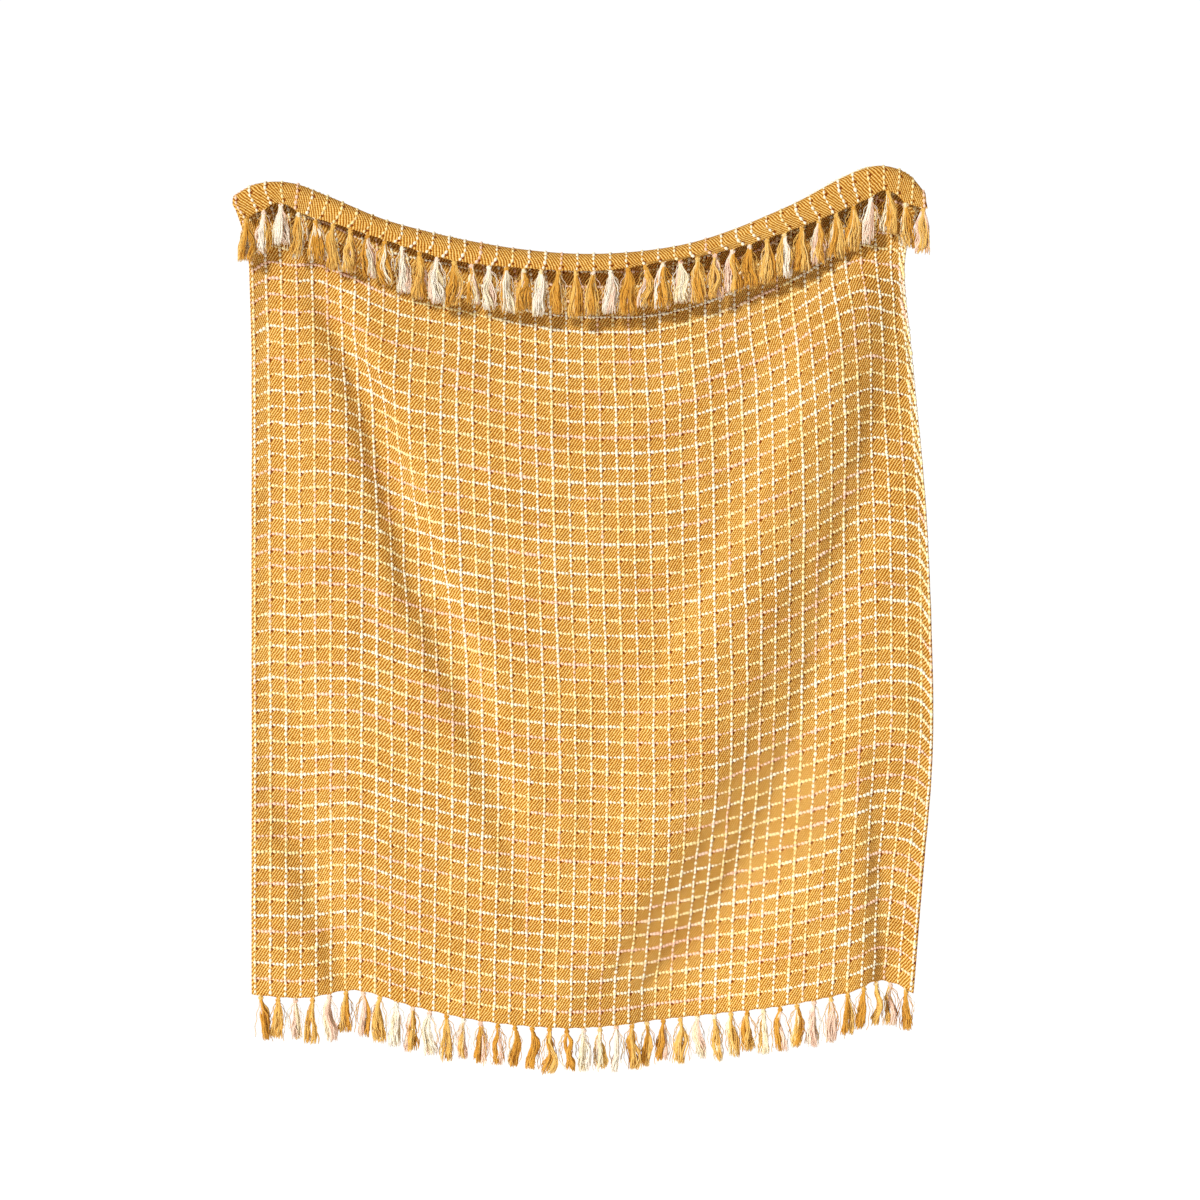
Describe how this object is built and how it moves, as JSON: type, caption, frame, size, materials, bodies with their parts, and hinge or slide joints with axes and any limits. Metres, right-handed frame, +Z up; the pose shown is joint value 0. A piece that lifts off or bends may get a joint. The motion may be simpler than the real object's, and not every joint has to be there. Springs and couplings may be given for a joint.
{
  "type": "woven throw blanket",
  "caption": "Woven check throw blanket hanging from two points, its top turned over to the front, with knotted tassels along both cut ends.",
  "frame": {"origin": "the left hanging point, against the inside of the fold's crown", "axes": "+X along the hanging line to the right as seen from the front, +Y away from the viewer, +Z up"},
  "size_m": [1.2203, 0.1521, 1.5883],
  "materials": {
    "woven_cloth": "matte mustard twill with a windowpane check of cream, yellow and pale pink slub yarn",
    "tassel_yarn": "matte loose cotton yarn, mustard mixed with cream and pale pink"
  },
  "bodies": {
    "throw": {"main_panel": "woven_cloth", "back_strip": "woven_cloth", "fold_back": "woven_cloth", "fold_front": "woven_cloth", "front_flap": "woven_cloth"},
    "top_tassels_1": {"top_tassels_1": "tassel_yarn"},
    "top_tassels_2": {"top_tassels_2": "tassel_yarn"},
    "top_tassels_3": {"top_tassels_3": "tassel_yarn"},
    "top_tassels_4": {"top_tassels_4": "tassel_yarn"},
    "top_tassels_5": {"top_tassels_5": "tassel_yarn"},
    "top_tassels_6": {"top_tassels_6": "tassel_yarn"},
    "top_tassels_7": {"top_tassels_7": "tassel_yarn"},
    "top_tassels_8": {"top_tassels_8": "tassel_yarn"},
    "top_tassels_9": {"top_tassels_9": "tassel_yarn"},
    "top_tassels_10": {"top_tassels_10": "tassel_yarn"},
    "top_tassels_11": {"top_tassels_11": "tassel_yarn"},
    "top_tassels_12": {"top_tassels_12": "tassel_yarn"},
    "top_tassels_13": {"top_tassels_13": "tassel_yarn"},
    "top_tassels_14": {"top_tassels_14": "tassel_yarn"},
    "top_tassels_15": {"top_tassels_15": "tassel_yarn"},
    "top_tassels_16": {"top_tassels_16": "tassel_yarn"},
    "top_tassels_17": {"top_tassels_17": "tassel_yarn"},
    "top_tassels_18": {"top_tassels_18": "tassel_yarn"},
    "top_tassels_19": {"top_tassels_19": "tassel_yarn"},
    "top_tassels_20": {"top_tassels_20": "tassel_yarn"},
    "top_tassels_21": {"top_tassels_21": "tassel_yarn"},
    "top_tassels_22": {"top_tassels_22": "tassel_yarn"},
    "top_tassels_23": {"top_tassels_23": "tassel_yarn"},
    "top_tassels_24": {"top_tassels_24": "tassel_yarn"},
    "top_tassels_25": {"top_tassels_25": "tassel_yarn"},
    "top_tassels_26": {"top_tassels_26": "tassel_yarn"},
    "top_tassels_27": {"top_tassels_27": "tassel_yarn"},
    "top_tassels_28": {"top_tassels_28": "tassel_yarn"},
    "top_tassels_29": {"top_tassels_29": "tassel_yarn"},
    "top_tassels_30": {"top_tassels_30": "tassel_yarn"},
    "foot_tassels_1": {"foot_tassels_1": "tassel_yarn"},
    "foot_tassels_2": {"foot_tassels_2": "tassel_yarn"},
    "foot_tassels_3": {"foot_tassels_3": "tassel_yarn"},
    "foot_tassels_4": {"foot_tassels_4": "tassel_yarn"},
    "foot_tassels_5": {"foot_tassels_5": "tassel_yarn"},
    "foot_tassels_6": {"foot_tassels_6": "tassel_yarn"},
    "foot_tassels_7": {"foot_tassels_7": "tassel_yarn"},
    "foot_tassels_8": {"foot_tassels_8": "tassel_yarn"},
    "foot_tassels_9": {"foot_tassels_9": "tassel_yarn"},
    "foot_tassels_10": {"foot_tassels_10": "tassel_yarn"},
    "foot_tassels_11": {"foot_tassels_11": "tassel_yarn"},
    "foot_tassels_12": {"foot_tassels_12": "tassel_yarn"},
    "foot_tassels_13": {"foot_tassels_13": "tassel_yarn"},
    "foot_tassels_14": {"foot_tassels_14": "tassel_yarn"},
    "foot_tassels_15": {"foot_tassels_15": "tassel_yarn"},
    "foot_tassels_16": {"foot_tassels_16": "tassel_yarn"},
    "foot_tassels_17": {"foot_tassels_17": "tassel_yarn"},
    "foot_tassels_18": {"foot_tassels_18": "tassel_yarn"},
    "foot_tassels_19": {"foot_tassels_19": "tassel_yarn"},
    "foot_tassels_20": {"foot_tassels_20": "tassel_yarn"},
    "foot_tassels_21": {"foot_tassels_21": "tassel_yarn"},
    "foot_tassels_22": {"foot_tassels_22": "tassel_yarn"},
    "foot_tassels_23": {"foot_tassels_23": "tassel_yarn"},
    "foot_tassels_24": {"foot_tassels_24": "tassel_yarn"},
    "foot_tassels_25": {"foot_tassels_25": "tassel_yarn"}
  },
  "joints": [
    {"name": "top_tassels_1_swing", "type": "hinge", "parent": "throw", "child": "top_tassels_1", "pos_m": [-0.075, -0.014, -0.0662], "axis": [-1, 0, 0], "range_deg": [-5, 80]},
    {"name": "top_tassels_2_swing", "type": "hinge", "parent": "throw", "child": "top_tassels_2", "pos_m": [-0.04487, -0.014, -0.0511], "axis": [-1, 0, 0], "range_deg": [-5, 80]},
    {"name": "top_tassels_3_swing", "type": "hinge", "parent": "throw", "child": "top_tassels_3", "pos_m": [-0.01474, -0.014, -0.04004], "axis": [-1, 0, 0], "range_deg": [-5, 80]},
    {"name": "top_tassels_4_swing", "type": "hinge", "parent": "throw", "child": "top_tassels_4", "pos_m": [0.01538, -0.0141, -0.05556], "axis": [-1, 0, 0], "range_deg": [-5, 80]},
    {"name": "top_tassels_5_swing", "type": "hinge", "parent": "throw", "child": "top_tassels_5", "pos_m": [0.06058, -0.0155, -0.07133], "axis": [-0.9893, 0.0431, 0.139], "range_deg": [-5, 80]},
    {"name": "top_tassels_6_swing", "type": "hinge", "parent": "throw", "child": "top_tassels_6", "pos_m": [0.10577, -0.01786, -0.08522], "axis": [-1, 0, 0], "range_deg": [-10, 80]},
    {"name": "top_tassels_7_swing", "type": "hinge", "parent": "throw", "child": "top_tassels_7", "pos_m": [0.1359, -0.01977, -0.09531], "axis": [-1, 0, 0], "range_deg": [-10, 80]},
    {"name": "top_tassels_8_swing", "type": "hinge", "parent": "throw", "child": "top_tassels_8", "pos_m": [0.16603, -0.02173, -0.10532], "axis": [-1, 0, 0], "range_deg": [-10, 80]},
    {"name": "top_tassels_9_swing", "type": "hinge", "parent": "throw", "child": "top_tassels_9", "pos_m": [0.19615, -0.02361, -0.11498], "axis": [-1, 0, 0], "range_deg": [-15, 80]},
    {"name": "top_tassels_10_swing", "type": "hinge", "parent": "throw", "child": "top_tassels_10", "pos_m": [0.22628, -0.0253, -0.12499], "axis": [-1, 0, 0], "range_deg": [-15, 80]},
    {"name": "top_tassels_11_swing", "type": "hinge", "parent": "throw", "child": "top_tassels_11", "pos_m": [0.27147, -0.02731, -0.13773], "axis": [-0.9896, 0.0376, 0.1391], "range_deg": [-15, 80]},
    {"name": "top_tassels_12_swing", "type": "hinge", "parent": "throw", "child": "top_tassels_12", "pos_m": [0.33173, -0.02903, -0.14781], "axis": [-0.9928, 0.0193, 0.1184], "range_deg": [-15, 80]},
    {"name": "top_tassels_13_swing", "type": "hinge", "parent": "throw", "child": "top_tassels_13", "pos_m": [0.39199, -0.02978, -0.15349], "axis": [-0.9972, 0.0065, 0.075], "range_deg": [-20, 80]},
    {"name": "top_tassels_14_swing", "type": "hinge", "parent": "throw", "child": "top_tassels_14", "pos_m": [0.45224, -0.02998, -0.15756], "axis": [-0.9984, 0.0009, 0.0562], "range_deg": [-20, 80]},
    {"name": "top_tassels_15_swing", "type": "hinge", "parent": "throw", "child": "top_tassels_15", "pos_m": [0.5125, -0.03, -0.15926], "axis": [-1, 0, -0.0057], "range_deg": [-20, 80]},
    {"name": "top_tassels_16_swing", "type": "hinge", "parent": "throw", "child": "top_tassels_16", "pos_m": [0.57276, -0.02998, -0.15549], "axis": [-0.9922, -0.0011, -0.1247], "range_deg": [-20, 80]},
    {"name": "top_tassels_17_swing", "type": "hinge", "parent": "throw", "child": "top_tassels_17", "pos_m": [0.63301, -0.02976, -0.14643], "axis": [-0.9902, -0.0071, -0.1392], "range_deg": [-20, 80]},
    {"name": "top_tassels_18_swing", "type": "hinge", "parent": "throw", "child": "top_tassels_18", "pos_m": [0.69327, -0.02895, -0.13698], "axis": [-0.9901, -0.0204, -0.1391], "range_deg": [-15, 80]},
    {"name": "top_tassels_19_swing", "type": "hinge", "parent": "throw", "child": "top_tassels_19", "pos_m": [0.75353, -0.02715, -0.12474], "axis": [-0.9895, -0.0389, -0.1391], "range_deg": [-15, 80]},
    {"name": "top_tassels_20_swing", "type": "hinge", "parent": "throw", "child": "top_tassels_20", "pos_m": [0.79872, -0.02509, -0.11222], "axis": [-1, 0, 0], "range_deg": [-15, 80]},
    {"name": "top_tassels_21_swing", "type": "hinge", "parent": "throw", "child": "top_tassels_21", "pos_m": [0.82885, -0.02337, -0.10253], "axis": [-1, 0, 0], "range_deg": [-10, 80]},
    {"name": "top_tassels_22_swing", "type": "hinge", "parent": "throw", "child": "top_tassels_22", "pos_m": [0.85897, -0.02148, -0.09229], "axis": [-1, 0, 0], "range_deg": [-10, 80]},
    {"name": "top_tassels_23_swing", "type": "hinge", "parent": "throw", "child": "top_tassels_23", "pos_m": [0.8891, -0.01951, -0.08116], "axis": [-1, 0, 0], "range_deg": [-10, 80]},
    {"name": "top_tassels_24_swing", "type": "hinge", "parent": "throw", "child": "top_tassels_24", "pos_m": [0.91923, -0.01762, -0.06932], "axis": [-1, 0, 0], "range_deg": [-5, 80]},
    {"name": "top_tassels_25_swing", "type": "hinge", "parent": "throw", "child": "top_tassels_25", "pos_m": [0.94936, -0.01596, -0.05714], "axis": [-1, 0, 0], "range_deg": [0, 80]},
    {"name": "top_tassels_26_swing", "type": "hinge", "parent": "throw", "child": "top_tassels_26", "pos_m": [0.97949, -0.01471, -0.04394], "axis": [-1, 0, 0], "range_deg": [0, 80]},
    {"name": "top_tassels_27_swing", "type": "hinge", "parent": "throw", "child": "top_tassels_27", "pos_m": [1.00962, -0.01406, -0.02949], "axis": [-1, 0, 0], "range_deg": [-5, 80]},
    {"name": "top_tassels_28_swing", "type": "hinge", "parent": "throw", "child": "top_tassels_28", "pos_m": [1.03974, -0.014, -0.01802], "axis": [-1, 0, 0], "range_deg": [-5, 80]},
    {"name": "top_tassels_29_swing", "type": "hinge", "parent": "throw", "child": "top_tassels_29", "pos_m": [1.06987, -0.014, -0.03879], "axis": [-1, 0, 0], "range_deg": [-5, 80]},
    {"name": "top_tassels_30_swing", "type": "hinge", "parent": "throw", "child": "top_tassels_30", "pos_m": [1.1, -0.014, -0.04826], "axis": [-1, 0, 0], "range_deg": [-5, 80]},
    {"name": "foot_tassels_1_swing", "type": "hinge", "parent": "throw", "child": "foot_tassels_1", "pos_m": [-0.03974, 0.03857, -1.42306], "axis": [-0.9964, 0.0139, 0.0839], "range_deg": [-60, 60]},
    {"name": "foot_tassels_2_swing", "type": "hinge", "parent": "throw", "child": "foot_tassels_2", "pos_m": [0.02078, 0.0365, -1.42506], "axis": [-0.9972, 0.0503, -0.0557], "range_deg": [-55, 60]},
    {"name": "foot_tassels_3_swing", "type": "hinge", "parent": "throw", "child": "foot_tassels_3", "pos_m": [0.07948, 0.04459, -1.4163], "axis": [-0.9879, -0.0691, -0.1388], "range_deg": [-60, 60]},
    {"name": "foot_tassels_4_swing", "type": "hinge", "parent": "throw", "child": "foot_tassels_4", "pos_m": [0.13863, 0.04431, -1.41872], "axis": [-0.9879, 0.0691, 0.1388], "range_deg": [-60, 60]},
    {"name": "foot_tassels_5_swing", "type": "hinge", "parent": "throw", "child": "foot_tassels_5", "pos_m": [0.19659, 0.04148, -1.43632], "axis": [-0.9901, 0.0157, 0.1392], "range_deg": [-60, 60]},
    {"name": "foot_tassels_6_swing", "type": "hinge", "parent": "throw", "child": "foot_tassels_6", "pos_m": [0.25537, 0.04106, -1.45138], "axis": [-0.9903, 0.0019, 0.1392], "range_deg": [-60, 60]},
    {"name": "foot_tassels_7_swing", "type": "hinge", "parent": "throw", "child": "foot_tassels_7", "pos_m": [0.31477, 0.04101, -1.46381], "axis": [-0.9903, 0.0002, 0.1392], "range_deg": [-60, 60]},
    {"name": "foot_tassels_8_swing", "type": "hinge", "parent": "throw", "child": "foot_tassels_8", "pos_m": [0.3749, 0.04094, -1.47203], "axis": [-0.9941, 0.0038, 0.1088], "range_deg": [-60, 60]},
    {"name": "foot_tassels_9_swing", "type": "hinge", "parent": "throw", "child": "foot_tassels_9", "pos_m": [0.43536, 0.04055, -1.4773], "axis": [-0.9979, -0.0146, 0.0639], "range_deg": [-60, 60]},
    {"name": "foot_tassels_10_swing", "type": "hinge", "parent": "throw", "child": "foot_tassels_10", "pos_m": [0.49558, 0.04602, -1.47959], "axis": [-0.9975, -0.0697, 0.0108], "range_deg": [-60, 60]},
    {"name": "foot_tassels_11_swing", "type": "hinge", "parent": "throw", "child": "foot_tassels_11", "pos_m": [0.53906, 0.05917, -1.47916], "axis": [-1, 0, 0], "range_deg": [-60, 60]},
    {"name": "foot_tassels_12_swing", "type": "hinge", "parent": "throw", "child": "foot_tassels_12", "pos_m": [0.56798, 0.06824, -1.47775], "axis": [-1, 0, 0], "range_deg": [-60, 60]},
    {"name": "foot_tassels_13_swing", "type": "hinge", "parent": "throw", "child": "foot_tassels_13", "pos_m": [0.5957, 0.08019, -1.47581], "axis": [-1, 0, 0], "range_deg": [-60, 60]},
    {"name": "foot_tassels_14_swing", "type": "hinge", "parent": "throw", "child": "foot_tassels_14", "pos_m": [0.63655, 0.0987, -1.47215], "axis": [-0.993, -0.0694, -0.0956], "range_deg": [-60, 60]},
    {"name": "foot_tassels_15_swing", "type": "hinge", "parent": "throw", "child": "foot_tassels_15", "pos_m": [0.69642, 0.10103, -1.46587], "axis": [-0.9911, 0.0685, -0.114], "range_deg": [-60, 60]},
    {"name": "foot_tassels_16_swing", "type": "hinge", "parent": "throw", "child": "foot_tassels_16", "pos_m": [0.75577, 0.09166, -1.4584], "axis": [-0.9884, 0.0691, -0.135], "range_deg": [-60, 60]},
    {"name": "foot_tassels_17_swing", "type": "hinge", "parent": "throw", "child": "foot_tassels_17", "pos_m": [0.79857, 0.07755, -1.45228], "axis": [-1, 0, 0], "range_deg": [-60, 60]},
    {"name": "foot_tassels_18_swing", "type": "hinge", "parent": "throw", "child": "foot_tassels_18", "pos_m": [0.82676, 0.06715, -1.44789], "axis": [-1, 0, 0], "range_deg": [-60, 60]},
    {"name": "foot_tassels_19_swing", "type": "hinge", "parent": "throw", "child": "foot_tassels_19", "pos_m": [0.85563, 0.05915, -1.44312], "axis": [-1, 0, 0], "range_deg": [-60, 60]},
    {"name": "foot_tassels_20_swing", "type": "hinge", "parent": "throw", "child": "foot_tassels_20", "pos_m": [0.89994, 0.05316, -1.43482], "axis": [-0.9879, 0.0691, -0.1388], "range_deg": [-60, 60]},
    {"name": "foot_tassels_21_swing", "type": "hinge", "parent": "throw", "child": "foot_tassels_21", "pos_m": [0.95915, 0.05061, -1.42182], "axis": [-0.9901, 0.0159, -0.1392], "range_deg": [-60, 60]},
    {"name": "foot_tassels_22_swing", "type": "hinge", "parent": "throw", "child": "foot_tassels_22", "pos_m": [1.00197, 0.05205, -1.4073], "axis": [-1, 0, 0], "range_deg": [-60, 60]},
    {"name": "foot_tassels_23_swing", "type": "hinge", "parent": "throw", "child": "foot_tassels_23", "pos_m": [1.02523, 0.06882, -1.39953], "axis": [-1, 0, 0], "range_deg": [-60, 60]},
    {"name": "foot_tassels_24_swing", "type": "hinge", "parent": "throw", "child": "foot_tassels_24", "pos_m": [1.05099, 0.08245, -1.40286], "axis": [-1, 0, 0], "range_deg": [-60, 60]},
    {"name": "foot_tassels_25_swing", "type": "hinge", "parent": "throw", "child": "foot_tassels_25", "pos_m": [1.07841, 0.08096, -1.41532], "axis": [-1, 0, 0], "range_deg": [-60, 60]}
  ]
}
